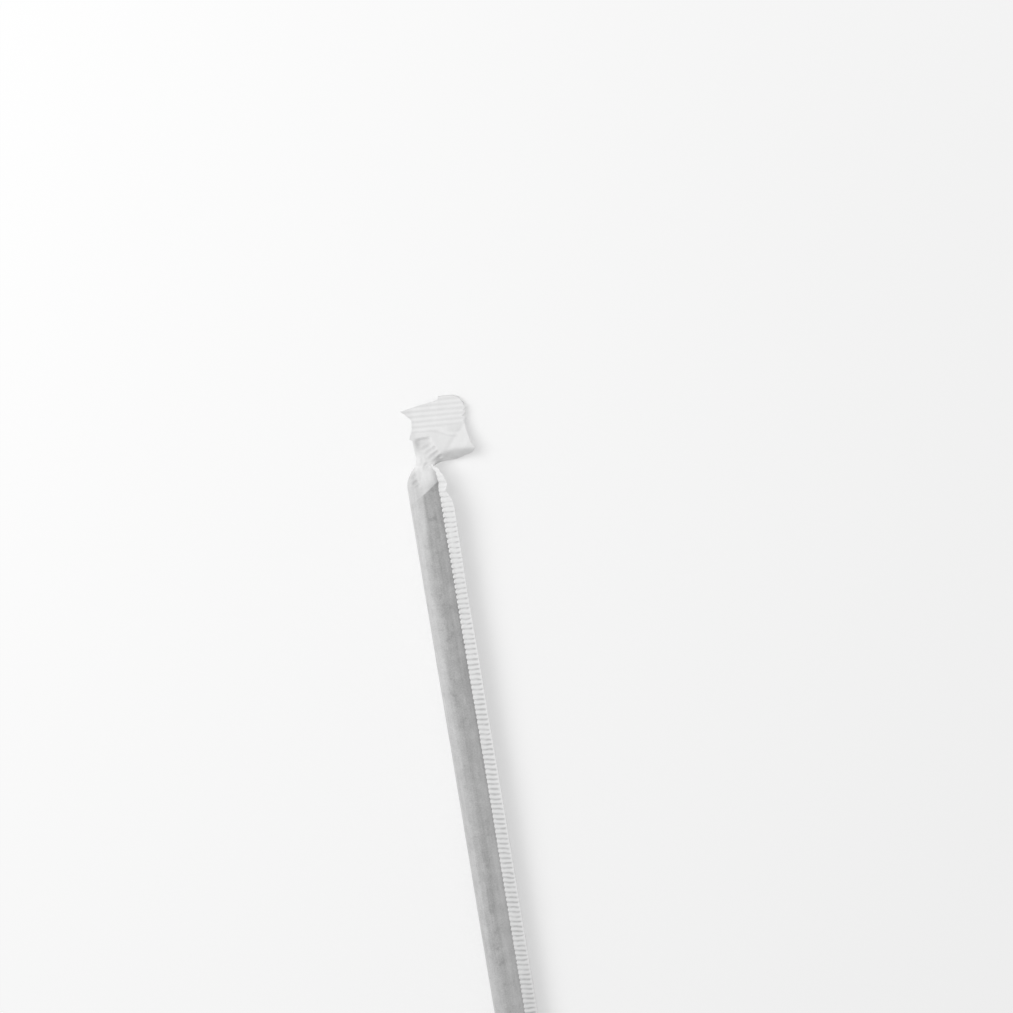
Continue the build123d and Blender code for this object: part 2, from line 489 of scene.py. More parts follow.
class WrapperForm:
    """Where each point of the folded sheet lies, in millimetres."""

    arounds = round_section(even_shares(SHEET_COLUMNS, SHEET_RIM), SHEET_COARSER)
    fin_arounds = round_section(even_shares(FIN_COLUMNS, FIN_RIM), FIN_COARSER)

    def __init__(self, sizes):
        self.half_seal = sizes.half_seal / MM
        self.radius = sizes.sleeve_radius / MM
        self.pitch = sizes.crimp_pitch / MM
        self.fin_crimp = sizes.fin_crimp / MM
        self.seal_crimp = sizes.seal_crimp / MM
        self.rim_clearance = sizes.rim_clearance / MM
        self.sleeve_end = STRAW_END + self.rim_clearance
        self.fold_height = sizes.fold_height / MM
        self.lean = math.tan(sizes.flap_lean)
        self.tip = WRAPPER_LOW.y
        self.seal = self.tip + sizes.seal_depth / MM
        self.flat_left = WRAPPER_LOW.x
        self.flat_right = -self.flat_left
        self.seal_right = self.flat_right + sizes.fin_width / MM
        self.left = Outline(FLAP_LEFT, SIDE_ROUNDING)
        self.right = Outline(FLAP_RIGHT, SIDE_ROUNDING)
        self.top = Outline(FLAP_TOP, TOP_ROUNDING)
        self.neck_past = FLAP_LEFT[0][1]
        self.neck = STRAW_END + self.neck_past
        self.neck_height = AXIS_HEIGHT + NECK_LIFT
        self.flap_length = FLAP_TOP[0][1] - self.neck_past
        self.wall_radius = (STRAW_RADIUS + self.radius) / 2
        self.fin_rise = math.sqrt((self.radius + FIN_STAND_OFF) ** 2 - FIN_ROOT_X ** 2)
        self.fin_inside = math.sqrt((self.wall_radius + WALL_MARGIN) ** 2 - self.fin_rise ** 2)

    def rows(self):
        """Places along the sheet, close together where the paper is ridged or gathered."""
        near_rim = STRAW_END - NEAR_RIM_LENGTH
        stretches = (
            (self.tip, self.seal, RIDGED_STEP),
            (self.seal, -self.sleeve_end, PLAIN_SHOULDER_STEP),
            (-self.sleeve_end, near_rim, SLEEVE_STEP),
            (near_rim, self.sleeve_end, NEAR_RIM_STEP),
            (self.sleeve_end, self.neck, RIDGED_STEP),
            (self.neck, self.neck + self.flap_length, RIDGED_STEP),
        )
        places = [self.tip]
        for start, end, step in stretches:
            count = math.ceil((end - start) / step)
            places += [mix(start, end, (k + 1) / count) for k in range(count)]
        return places

    def point(self, place, around):
        """A point of the sheet and its pressed grey and painted shade, at a place along it and a share of its
        round.
        """
        turn, face = fold_round(around)
        if place > self.neck:
            point = self.flap(place, turn, face)
        elif place > self.sleeve_end:
            point = self.shoulder(place, turn, face)
        elif place > -self.sleeve_end:
            point = self.sleeve(place, turn, face)
        else:
            point = self.plain_end(place, turn, face)
        creased = self.creases(point.x, point.y) if face > 0 else 0
        # Painted shade in the creases, with some grey of pressed paper, adds to that of the seals
        return point, self.seal_pressed_and_shaded(point) + CREASE_SHADE * creased

    def ridges(self, turn, face):
        """The two lines that stand off the round sleeve: the root of the fin and the sheet's own fold."""
        angle = math.pi * (1 - turn) * face
        height = ROOT_RIDGE * near(ROOT_RIDGE_BAND, angle)
        height += self.fold_height * near(FOLD_BAND, abs(angle))
        return Vector((math.cos(angle), 0, math.sin(angle))) * height

    def sleeve(self, place, turn, face):
        """The round stretch on the straw, with its fold at the left and the fin's root at the upper right."""
        angle = math.pi * (1 - turn) * face
        x, z = math.cos(angle), math.sin(angle)
        slack = ripple(SLACK, x, place, z) + ripple(FINE_SLACK, x, place, z)
        reach = self.radius + slack * ease(*SLACK_GROWS, self.sleeve_end - abs(place))
        point = Vector((reach * x, place, AXIS_HEIGHT + reach * z)) + self.ridges(turn, face)
        point.z = max(0.0, point.z)
        return point

    def flatness(self, place):
        """How far the plain end is flattened: 0 at the straw's rim and 1 from the seal on."""
        share = clamp((-self.sleeve_end - place) / (-self.sleeve_end - self.seal))
        return mix(share, ease(0, 1, share), FLATTEN_EASE)

    def plain_end(self, place, turn, face):
        """The plain end: the tube flattens out to its straight ridged seal."""
        flat = self.flatness(place)
        in_seal = ease(*SEAL_BEGINS, self.seal - place)
        from_tip = place - self.tip
        across = mix(round_across(turn), turn, ease(*TUBE_SPREADS, flat))
        dome = bulge(across, mix(ROUND_POWER, PLAIN_SEAL_POWER, ease(*SECTION_FLATTENS, flat)))
        dome *= ease(*TIP_CUT, from_tip)
        left = mix(-self.radius, self.flat_left, flat)
        tube_right = mix(self.radius, self.flat_right, flat)
        right = mix(tube_right, self.seal_right, ease(*SEAL_WIDENS, self.seal - place))
        half = mix(self.radius, self.half_seal, flat)
        x = mix(left, right, across)
        lift = self.seal_crimp * crimp(from_tip, self.pitch, SEAL_CREST)
        lift *= in_seal * ease(*TIP_RIDGES, from_tip)
        sag = ripple(PLAIN_SAG, x, place) * flat
        soft = ripple(PLAIN_SOFT, x, place, face) * flat * (1 - in_seal)
        cut_edge = half * (1 - dome) * in_seal
        point = Vector((x, place, AXIS_HEIGHT + lift + sag + cut_edge + face * (half + soft) * dome))
        return point + self.ridges(turn, face) * (1 - flat)

    def gather(self, across, share):
        """The soft pleats of the neck."""
        return GATHER_DEPTH * math.sin(math.tau * (GATHERS * across + GATHER_TWIST * share))

    def shoulder(self, place, turn, face):
        """The rounded shoulder past the straw's rim, drawn in to the neck."""
        share = (place - self.sleeve_end) / (self.neck - self.sleeve_end)
        across = mix(round_across(turn), turn, NECK_SPREAD * share)
        dome = bulge(across, ROUND_POWER)
        left_end, right_end = self.left.points[0], self.right.points[0]
        left = Vector((mix(-self.radius, left_end.x, share ** LEFT_DRAW), place))
        right_y = mix(self.sleeve_end, STRAW_END + right_end.y, share)
        right = Vector((mix(self.radius, right_end.x, share ** RIGHT_DRAW), right_y))
        x, y = left.lerp(right, across)
        half = mix(self.radius, NECK_HALF, share ** HEIGHT_DRAW)
        half += self.gather(across, share) * ease(*GATHERS_GROW, share)
        middle = mix(AXIS_HEIGHT, self.neck_height, ease(0, 1, share))
        z = middle + face * dome * half + self.dents(x, y) * share
        if face > 0:
            beside_fin = ease(*PULL_GROWS, across) * ease(*PULL_RIM, 1 - across)
            z += self.fin_lift(place - STRAW_END) * beside_fin - self.creases(x, y) * dome
        point = Vector((x, y, z)) + self.ridges(turn, face) * (1 - share)
        point.z = max(0.0, point.z)
        return point

    def flap(self, place, turn, face):
        """The seal past the neck: flattened, ridged, pushed aside and folded down at one corner."""
        share = (place - self.neck) / self.flap_length
        at_neck = mix(round_across(turn), turn, NECK_SPREAD)
        across = mix(at_neck, turn, ease(*FLAP_SPREADS, share))
        dome = bulge(across, mix(ROUND_POWER, FLAP_POWER, ease(*FLAP_FLATTENS, share)))
        dome *= ease(*TOP_CUT, 1 - share)
        left, right = self.left.at(share), self.right.at(share)
        top_bow = self.top.at(across) - self.top.points[0].lerp(self.top.points[-1], across)
        x, past = left.lerp(right, across) + top_bow * share ** TOP_POWER
        nicked = ease(*NICKED_EDGE, across) * ease(*NICKED_STRETCH, share)
        x += NICK_DEPTH * crimp(past, self.pitch, SEAL_CREST) * nicked
        half = mix(NECK_HALF, self.half_seal, ease(*FLAP_THINS, share))
        half += self.gather(across, 1) * (1 - ease(*GATHERS_END, share))
        y = STRAW_END + past
        cut_edge = half * (1 - dome) * ease(*EDGE_SETTLES, share)
        z = self.flap_height(x, past) + face * dome * half + cut_edge + self.dents(x, y)
        if face > 0:
            z -= self.creases(x, y) * dome
        return Vector((x, y, max(TABLE_GAP, z)))

    def flap_height(self, x, past):
        """Height of the flap's middle layer, with its ridges and folds."""
        run = max(0.0, past - self.neck_past)
        z = self.neck_height - self.lean * run * run / (run + LEAN_START)
        z += PUFF_HEIGHT * near(PUFF_BAND, past) * ease(*PUFF_BEGINS, past) * stretch(PUFF_ACROSS, x)
        z += self.seal_crimp * self.seal_ridge(x, past)
        z += self.fin_over_flap(x, past) + self.folded_corner(x, past)
        return z + CURL * max(0.0, -x) ** CURL_POWER * ease(*CURL_BEGINS, past)

    def turned(self, x, past):
        """How far a point lies past the crease of the folded corner."""
        return max(0.0, side_of(CORNER_FOLD, x, past), side_of(CORNER_FOOT, x, past))

    def seal_ridge(self, x, past):
        """The wave of the flap's ridges: the lowest bows down at the right; the folded corner has none."""
        bow = BOW_DEPTH * ease(*BOW_ACROSS, x) * (1 - ease(*BOW_ENDS, past))
        measure = past + RIDGE_SLANT * (x - RIDGE_LEVEL_X) + bow
        shown = ease(*RIDGES_START, measure) * (1 - ease(*RIDGES_STOP, self.turned(x, past)))
        return crimp(measure - FIRST_RIDGE, RIDGE_PITCH * self.pitch, SEAL_CREST) * shown

    def crimped_over(self, x, past):
        """The end of the fin folded over the flap: the wave of its slanting crimps and how far they show."""
        shown = stretch(SLANT_ACROSS, side_of(FIN_FOLD, x, past)) * stretch(SLANT_PAST, past)
        measure = SLANT_WAY[0] * x + SLANT_WAY[1] * past
        return crimp(measure, self.pitch, SLANT_CREST), shown

    def hollow_under_ridges(self, x, past):
        """The dip below the lowest ridge, beside the end of the fin."""
        return stretch(HOLLOW_PAST, past) * stretch(HOLLOW_ACROSS, x)

    def fin_over_flap(self, x, past):
        """Height of the folded end of the fin, a little lower than the flap beside it."""
        wave, shown = self.crimped_over(x, past)
        lower = stretch(FIN_END_ACROSS, side_of(FIN_FOLD, x, past)) * stretch(FIN_END_PAST, past)
        hollow = self.hollow_under_ridges(x, past)
        return SLANT_CRIMP * wave * shown - FIN_END_DEPTH * lower - HOLLOW_DEPTH * hollow

    def folded_corner(self, x, past):
        """The triangle turned down at the right: it rises from its crease and rolls under along its foot."""
        rise = CORNER_RISE * clamp(side_of(CORNER_FOLD, x, past), 0.0, CORNER_RISE_END)
        foot, bend = side_of(CORNER_FOOT, x, past), side_of(CORNER_BEND, x, past)
        roll = hinge(bend - hinge(bend - foot, FOOT_SOFTNESS), ROLL_SOFTNESS)
        return (rise - ROLL_SLOPE * roll) * ease(*CORNER_BEGINS, x)

    def dents(self, x, y):
        """Soft dents in the loose paper past the straw's rim."""
        return sum(ripple(dent, x, y - STRAW_END) for dent in DENTS)

    def creases(self, x, y):
        """Depth of the creases round the neck."""
        return sum(crease_depth(crease, x, y - STRAW_END) for crease in NECK_CREASES)

    def seal_pressed_and_shaded(self, point):
        """Pressed grey and painted shade at a point of the end seals: most in the valleys of their ridges and
        over the slanting crimps, with painted shade alone in the hollow and along the corner's crease.
        """
        past = point.y - STRAW_END
        if past > self.neck_past:
            wave, shown = self.crimped_over(point.x, past)
            fold = near(FOLD_SHADE_BAND, side_of(CORNER_FOLD, point.x, past))
            fold *= ease(*FOLD_SHADE_ACROSS, point.x) * (1 - ease(*FOLD_SHADE_ENDS, past))
            ridges = RIDGE_SHADE * (1 - self.seal_ridge(point.x, past))
            slanting = (SLANT_SHADE - SLANT_SHADE_SWING * wave) * shown
            hollow = HOLLOW_SHADE * self.hollow_under_ridges(point.x, past)
            return ridges + slanting + hollow + FOLD_SHADE * fold
        ridges = RIDGE_SHADE * (1 - crimp(point.y - self.tip, self.pitch, SEAL_CREST))
        return ridges * ease(*SEAL_SHADE_BEGINS, self.seal - point.y)

    def fin_section(self, place, share):
        """Height of the fin's middle layer at a share of its width, and its pressed grey and painted shade
        there.
        """
        past = place - STRAW_END
        upper = ease(*UPPER_PART, past)
        drift = ripple(CRIMP_DRIFT, place, share) + CRIMP_LEAN * share * (1 - ease(*CRIMP_LEAN_ENDS, past))
        drift += ripple(EDGE_DRIFT, place) * ease(*EDGE_DRIFT_ACROSS, share)
        valley = (1 - crimp(place + drift, self.pitch, mix(LOWER_CREST, UPPER_CREST, upper))) / 2
        depth = VALLEY_DEPTH + ripple(VALLEY_PATCHES, place, share) + ripple(VALLEY_FLECKS, place, share)
        depth += DEEPER * near(DEEPER_BAND, share)
        depth *= 1 - SHALLOWER * upper * near(SHALLOWER_BAND, share)
        depth *= 1 - SHALLOWER_AT_RIM * ease(*RIM_PART, past)
        valley *= clamp(depth) * (1 - mix(*FLAT_EDGE_OF_BOTH_PARTS, upper) * ease(*FLAT_EDGE_ACROSS, share))
        bead = near(BEAD_BAND, share) * mix(*BEAD_OF_BOTH_PARTS, upper)
        height = self.fin_crimp * mix(1 + BEAD_RISE * bead, -1 - BEAD_DIP * bead, valley)
        shade = mix(*VALLEY_SHADE_OF_BOTH_PARTS, upper)
        shade *= 1 - ROOT_LIGHTER * (1 - upper) * near(ROOT_BAND, share)
        return height, valley * shade + MIDDLE_SHADE * near(MIDDLE_BAND, share)

    def fin_rows(self):
        """Places along the fin, from inside the plain end's seal to the neck."""
        start = self.seal - FIN_OVERLAP
        end = STRAW_END + FIN_ROOT[-1][0]
        count = round((end - start) / self.pitch * FIN_ROWS_PER_CRIMP)
        return [mix(start, end, k / count) for k in range(count + 1)]

    def fin_point(self, place, around):
        """A point of the fin and its pressed grey and painted shade, at a place along it and a share of its
        round.
        """
        turn, face = fold_round(around)
        past = place - STRAW_END
        flat = self.flatness(place)
        sway = ripple(FIN_SWAY, place) * (1 - flat)
        root = Vector((mix(along(FIN_ROOT, past), self.flat_right, flat), self.fin_root_height(past, flat)))
        edge_x = mix(along(FIN_EDGE, past), self.seal_right, flat) + SWAY_OUT * sway
        edge = Vector((edge_x, root.y - along(FIN_DROOP, past) * (1 - flat) + SWAY_UP * sway))
        width = (edge - root).length
        out = (edge - root).normalized()
        up = Vector((-out.y, out.x))
        scallop = SCALLOP * crimp(place, self.pitch, UPPER_CREST) * ease(*SCALLOPS_BEGIN, past)
        in_wall = max(0.0, root.x - self.fin_inside)
        sunk = ROOT_SUNK + mix(in_wall, SHOULDER_SUNK, ease(*SHOULDER_SINKS, past)) * (1 - flat)
        sunk += PLAIN_END_SUNK * flat * (1 - flat)
        reach = mix(-sunk, width + scallop + ripple(UNEVEN_EDGE, place), turn)
        height, pressed_and_shaded = self.fin_section(place, reach / width)
        rim = math.sqrt(clamp(1 - (2 * turn - 1) ** FIN_RIM_POWER))
        x, z = root + out * reach + up * (height + self.half_seal * (face * rim + 1 - rim))
        return Vector((x, place, z)), pressed_and_shaded

    def fin_lift(self, past):
        """How far the fin holds up the paper of the shoulder."""
        share = (past - self.rim_clearance) / (self.neck_past - self.rim_clearance)
        return FIN_PULL * bulge(share, 1)

    def fin_root_height(self, past, flat):
        """Height of the fin's root: on the sleeve, then down the shoulder to the neck."""
        height = mix(AXIS_HEIGHT + self.fin_rise, self.neck_height + ROOT_OVER_NECK, ease(*ROOT_DROPS, past))
        height += self.fin_lift(past)
        return mix(height, AXIS_HEIGHT, flat)


def lay_grid(bm, places, arounds, lay_point, pressed_and_shaded):
    """Adds a grid of paper to the mesh, and lays and marks each of its points."""
    rows, columns = len(places) - 1, len(arounds) - 1
    half = 0.5
    grid = bmesh.ops.create_grid(bm, x_segments=columns, y_segments=rows, size=half)["verts"]
    for vert in grid:
        row = round((vert.co.y + half) * rows)
        column = round((vert.co.x + half) * columns)
        vert.co, vert[pressed_and_shaded] = lay_point(places[row], arounds[column])
    return grid


def new_piece(name, bm, material):
    """A finished object at the origin, made from a mesh in millimetres."""
    bmesh.ops.scale(bm, vec=(MM, MM, MM), verts=bm.verts)
    for face in bm.faces:
        face.smooth = True
    mesh = bpy.data.meshes.new(name)
    bm.to_mesh(mesh)
    bm.free()
    mesh.materials.append(material)
    piece = bpy.data.objects.new(name, mesh)
    bpy.context.scene.collection.objects.link(piece)
    return piece


class Wire:
    """One output of a shader node: operators on it add Math nodes, and add() adds any other node."""

    def __init__(self, tree, output=None):
        self.tree = tree
        self.output = output

    def add(self, kind, settings=None, inputs=None, output=0):
        """Adds a node of a type, with its settings first and then the values or links of its sockets."""
        node = self.tree.nodes.new(kind)
        for name, value in (settings or {}).items():
            setattr(node, name, value)
        for name, value in (inputs or {}).items():
            if isinstance(value, Wire):
                self.tree.links.new(value.output, node.inputs[name])
            else:
                node.inputs[name].default_value = value
        return Wire(self.tree, node.outputs[output])

    def maths(self, operation, *values):
        """Adds a Math node on numbers or wires."""
        return self.add("ShaderNodeMath", {"operation": operation}, dict(enumerate(values)))

    def __add__(self, other):
        return self.maths("ADD", self, other)

    def __sub__(self, other):
        return self.maths("SUBTRACT", self, other)

    def __rsub__(self, other):
        return self.maths("SUBTRACT", other, self)

    def __mul__(self, other):
        return self.maths("MULTIPLY", self, other)

    __radd__ = __add__
    __rmul__ = __mul__

    def step(self, low, high):
        """0 at low, 1 at high and a smooth step between."""
        settings = {"interpolation_type": "SMOOTHSTEP"}
        return self.add("ShaderNodeMapRange", settings, {"Value": self, "From Min": low, "From Max": high})

    def noise(self, scale, detail):
        """Smooth noise from 0 to 1 over this position."""
        return self.add("ShaderNodeTexNoise", None, {"Vector": self, "Scale": scale, "Detail": detail})

    def stretched(self, scale):
        """This position, scaled along each axis."""
        return self.add("ShaderNodeMapping", None, {"Vector": self, "Scale": scale})

    def between(self, low, high):
        """A colour from low to high, by this factor."""
        sockets = {MIX_FACTOR: self, MIX_LOW: low, MIX_HIGH: high}
        return self.add("ShaderNodeMix", {"data_type": "RGBA"}, sockets, output=MIX_RESULT)

    def beside(self, name):
        """Another output of the same node."""
        return Wire(self.tree, self.output.node.outputs[name])

    def feed(self, socket):
        """Links this wire into a shader's socket."""
        self.tree.links.new(self.output, socket)


def shader(name, specular):
    """A new material, the wire to build its nodes with, and its shader's inputs."""
    material = bpy.data.materials.new(name)
    material.use_nodes = True
    surface = material.node_tree.nodes["Principled BSDF"]
    surface.inputs["Specular IOR Level"].default_value = specular
    return material, Wire(material.node_tree), surface.inputs


def paper_material(finish):
    """Thin uncoated paper: white where it is sealed or loose, greyed where the straw lies close behind it,
    darkened by painted shade in its valleys and creases, and lightened by painted light towards the fin and
    along its fold.
    """
    material, start, surface = shader("wrapper_paper", PAPER_SPECULAR)
    place = start.add("ShaderNodeTexCoord", output="Object")
    parts = place.add("ShaderNodeSeparateXYZ", None, {"Vector": place}, output="X")
    side = parts * (1 / MM)
    length = parts.beside("Y") * (1 / MM)
    past = length - STRAW_END
    past_plain_rim = length + STRAW_END
    on_tube = start.add("ShaderNodeAttribute", {"attribute_name": "straw_shows"}, output="Fac")
    pressed_and_shaded = start.add("ShaderNodeAttribute", {"attribute_name": "pressed_and_shaded"}, output="Fac")

    # The straw shows through up to a slanting crease, and less where the paper stands off it at the left;
    # towards the fin the grey is lightened partly where the paper lifts off and partly by painted light on the
    # side that the lamp leaves in shade
    near_rim = past.step(*NEAR_RIM)
    softness = mix(*CLOSE_SOFTNESS_BOTH_ENDS, near_rim)
    close = (side - mix(*CLOSE_FROM_BOTH_ENDS, near_rim)).step(-1 * softness, softness)
    on_sleeve = side.maths("MINIMUM", side, STRAW_RADIUS)
    past_crease = (past - RIM_SLANT * on_sleeve + RIM_OFFSET).step(*RIM_BLUR)
    below_rim = (1 - past_crease) * past_plain_rim.step(*PLAIN_RIM_BLUR)
    loose = mix(*LOOSE_GREY_BOTH_ENDS, past.step(*LOOSE_CHANGES))
    lift_off_and_painted_light = side.step(*LIFT_OFF_AND_PAINTED_LIGHT_ACROSS) * mix(*LIFT_OFF_AND_PAINTED_LIGHT_BOTH_ENDS, past.step(*LIFT_OFF_AND_PAINTED_LIGHT_CHANGES))
    straw_grey_and_painted_light = mix(loose, CLOSE_GREY, close) * (1 - lift_off_and_painted_light)

    # The shoulders keep some grey: most at the left, less from the middle on, none at the folded corner
    on_shoulder = (1 - below_rim) * (1 - past.step(*SHOULDER_ENDS))
    on_shoulder *= past_plain_rim.step(*PLAIN_SHOULDER_BEGINS)
    lighter = LIGHTER_MIDDLE * side.step(*LIGHTER_MIDDLE_ACROSS)
    lighter += LIGHTER_CORNER * side.step(*LIGHTER_CORNER_ACROSS)
    behind = below_rim * straw_grey_and_painted_light + on_shoulder * (SHOULDER_GREY - lighter)
    # Less grey along the fold at the left, partly where the paper stands off the straw and partly as a painted
    # highlight
    shows = on_tube * behind * mix(FOLD_GREY_WITH_HIGHLIGHT, 1, side.step(*FOLD_HIGHLIGHT_ACROSS))

    # Fibres, cloudy patches, long streaks and a few specks
    cloud = place.noise(*CLOUD_NOISE)
    streak = place.stretched(STREAK_STRETCH).noise(*STREAK_NOISE)
    fibre = place.noise(*FIBRE_NOISE)
    speck = place.noise(*SPECK_NOISE).step(*SPECK_CUT)
    mottle = CLOUD_TONE * (cloud - NOISE_MIDDLE)
    mottle += STREAK_TONE * (streak - NOISE_MIDDLE)
    mottle += FIBRE_TONE * (fibre - NOISE_MIDDLE)
    amount = shows + mottle * mix(*MOTTLE_BARE_AND_GREY, shows)
    # Specks, and the pressed grey and painted shade marked on the mesh
    amount += SPECK_TONE * speck * shows + PRESSED_AND_SHADED_TONE * pressed_and_shaded
    tone = (amount * GREYING).between(finish.paper_colour, finish.over_straw_and_shade_colour)
    tone.feed(surface["Base Color"])

    # Felted surface
    height = FIBRE_FELT * fibre + CLOUD_FELT * cloud + STREAK_FELT * streak
    felt = {"Height": height, "Strength": FELT_STRENGTH, "Distance": FELT_DEPTH * MM}
    start.add("ShaderNodeBump", None, felt).feed(surface["Normal"])
    mix(*PAPER_ROUGHNESS_RANGE, cloud).feed(surface["Roughness"])
    return material


def straw_material(finish):
    """Smooth extruded plastic, with faint draw lines along its length."""
    material, start, surface = shader("straw_plastic", STRAW_SPECULAR)
    place = start.add("ShaderNodeTexCoord", output="Object")
    lines = place.stretched(DRAW_STRETCH).noise(*DRAW_NOISE)
    lines.step(*DRAW_LINE).between(finish.straw_colour, finish.straw_line_colour).feed(surface["Base Color"])
    mix(*STRAW_ROUGHNESS_RANGE, lines).feed(surface["Roughness"])
    drawn = {"Height": lines, "Strength": DRAW_STRENGTH, "Distance": DRAW_DEPTH * MM}
    start.add("ShaderNodeBump", None, drawn).feed(surface["Normal"])
    return material


class WrapperSizes(bpy.types.PropertyGroup):
    """Sizes of the folded paper wrapper."""

    half_seal: FloatProperty(
        name="Half seal", description="Half the thickness of the two crimped layers",
        default=0.05 * MM, unit="LENGTH")
    sleeve_radius: FloatProperty(
        name="Sleeve radius", description="Radius of the sleeve on the straw",
        default=(STRAW_RADIUS + SLEEVE_STAND_OFF) * MM, unit="LENGTH")
    rim_clearance: FloatProperty(
        name="Rim clearance", description="From the straw's rim to where the paper draws in",
        default=0.6 * MM, unit="LENGTH")
    fold_height: FloatProperty(
        name="Fold height", description="How far the sheet's lengthwise fold stands off the sleeve",
        default=0.12 * MM, unit="LENGTH")
    crimp_pitch: FloatProperty(
        name="Crimp pitch", description="From one crimp to the next", default=1.0 * MM, unit="LENGTH")
    fin_width: FloatProperty(
        name="Fin width", description="Width of the crimped seam", default=2.4 * MM, unit="LENGTH")
    fin_crimp: FloatProperty(
        name="Fin crimps", description="Height of the fin's crimps about their middle",
        default=0.085 * MM, unit="LENGTH")
    seal_depth: FloatProperty(
        name="Seal depth", description="Length of the plain end's seal", default=7.5 * MM, unit="LENGTH")
    seal_crimp: FloatProperty(
        name="Seal ridges", description="Height of the end seals' ridges about their middle",
        default=0.055 * MM, unit="LENGTH")
    flap_lean: FloatProperty(
        name="Flap lean", description="How steeply the crumpled end slopes down to the table",
        default=math.radians(14), subtype="ANGLE")


class StrawFinish(bpy.types.PropertyGroup):
    """Colours of the paper and of the straw."""

    paper_colour: FloatVectorProperty(
        name="Paper", description="Sealed or loose paper", size=4, subtype="COLOR",
        min=0, max=1, default=(0.86, 0.86, 0.86, 1))
    # Also the dark end of the painted shade in the valleys and creases
    over_straw_and_shade_colour: FloatVectorProperty(
        name="Over the straw", description="Paper with the straw close behind it", size=4, subtype="COLOR",
        min=0, max=1, default=(0.36, 0.36, 0.36, 1))
    straw_colour: FloatVectorProperty(
        name="Straw", description="The straw's plastic", size=4, subtype="COLOR",
        min=0, max=1, default=(0.030, 0.030, 0.032, 1))
    straw_line_colour: FloatVectorProperty(
        name="Draw lines", description="Faint lines along the straw", size=4, subtype="COLOR",
        min=0, max=1, default=(0.045, 0.045, 0.047, 1))


class StageSettings(bpy.types.PropertyGroup):
    """Table, light and camera."""

    floor_colour: FloatVectorProperty(
        name="Table", description="Colour of the table", size=4, subtype="COLOR",
        min=0, max=1, default=(0.97, 0.97, 0.97, 1))
    floor_white: FloatProperty(
        name="White", description="Share of plain white in the table as the camera sees it",
        default=0.45, subtype="FACTOR", min=0, max=1)
    fade_start: FloatProperty(
        name="Fade start", description="How far from the straw's middle the table starts to fade to white",
        default=0.16, unit="LENGTH")
    fade_end: FloatProperty(
        name="Fade end", description="How far from the straw's middle the table is plain white",
        default=0.42, unit="LENGTH")
    key_power: FloatProperty(
        name="Key", description="Power of the large soft lamp", default=2.2, unit="POWER")
    key_size: FloatProperty(
        name="Key size", description="Width of the lamp", default=0.4, unit="LENGTH")
    key_place: FloatVectorProperty(
        name="Key place", description="Where the lamp stands", size=3, subtype="TRANSLATION", unit="LENGTH",
        default=(-0.28, 0.32, 0.48))
    fill_strength: FloatProperty(
        name="Fill", description="Strength of the light from all round", default=0.47)
    focal_length: FloatProperty(
        name="Focal length", description="Focal length of the camera, in millimetres",
        default=103.0, unit="CAMERA")
    camera_tilt: FloatProperty(
        name="Camera tilt", description="How far the camera leans towards the crumpled end",
        default=math.radians(10), subtype="ANGLE")
    camera_roll: FloatProperty(
        name="Camera roll", description="Turn of the straw in the picture",
        default=math.radians(9.1), subtype="ANGLE")
    camera_distance: FloatProperty(
        name="Camera distance", description="From the camera to the straw's rim",
        default=552.4 * MM, unit="LENGTH")


class STRAW_OT_fold_wrapper(bpy.types.Operator):
    """Fold the paper wrapper round the straw, with its fin, its plain end and its crumpled end"""

    bl_idname = "wrapped_straw.fold_wrapper"
    bl_label = "Fold wrapper"

    def execute(self, context):
        form = WrapperForm(context.scene.wrapper_sizes)
        bm = bmesh.new()
        shows = bm.verts.layers.float.new("straw_shows")
        pressed_and_shaded = bm.verts.layers.float.new("pressed_and_shaded")
        for vert in lay_grid(bm, form.rows(), form.arounds, form.point, pressed_and_shaded):
            vert[shows] = 1.0
        lay_grid(bm, form.fin_rows(), form.fin_arounds, form.fin_point, pressed_and_shaded)
        bmesh.ops.remove_doubles(bm, verts=bm.verts, dist=WELD_DISTANCE)
        open_edges = [edge for edge in bm.edges if edge.is_boundary]
        bmesh.ops.holes_fill(bm, edges=open_edges, sides=0)
        bmesh.ops.recalc_face_normals(bm, faces=bm.faces)
        self.hollow(bm, form)
        if any(not edge.is_manifold for edge in bm.edges):
            raise RuntimeError("the wrapper's mesh isn't closed")
        wrapper = new_piece("folded_wrapper", bm, paper_material(context.scene.straw_finish))
        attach(wrapper, "root")
        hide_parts("paper_wrapper")
        return {"FINISHED"}

    def hollow(self, bm, form):
        """Adds the inside wall of the sleeve, a closed round hollow that the straw lies in."""
        turned = Matrix.Translation((0, 0, AXIS_HEIGHT)) @ Matrix.Rotation(math.pi / 2, 4, "X")
        wall = bmesh.ops.create_cone(
            bm, cap_ends=True, segments=WALL_SEGMENTS, radius1=form.wall_radius, radius2=form.wall_radius,
            depth=2 * form.sleeve_end, matrix=turned)
        faces = {face for vert in wall["verts"] for face in vert.link_faces}
        bmesh.ops.reverse_faces(bm, faces=list(faces))


class STRAW_OT_finish_straw(bpy.types.Operator):
    """Give the straw inside the wrapper its plastic"""

    bl_idname = "wrapped_straw.finish_straw"
    bl_label = "Finish straw"

    def execute(self, context):
        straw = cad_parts["straw"]
        straw.data.materials.clear()
        straw.data.materials.append(straw_material(context.scene.straw_finish))
        return {"FINISHED"}


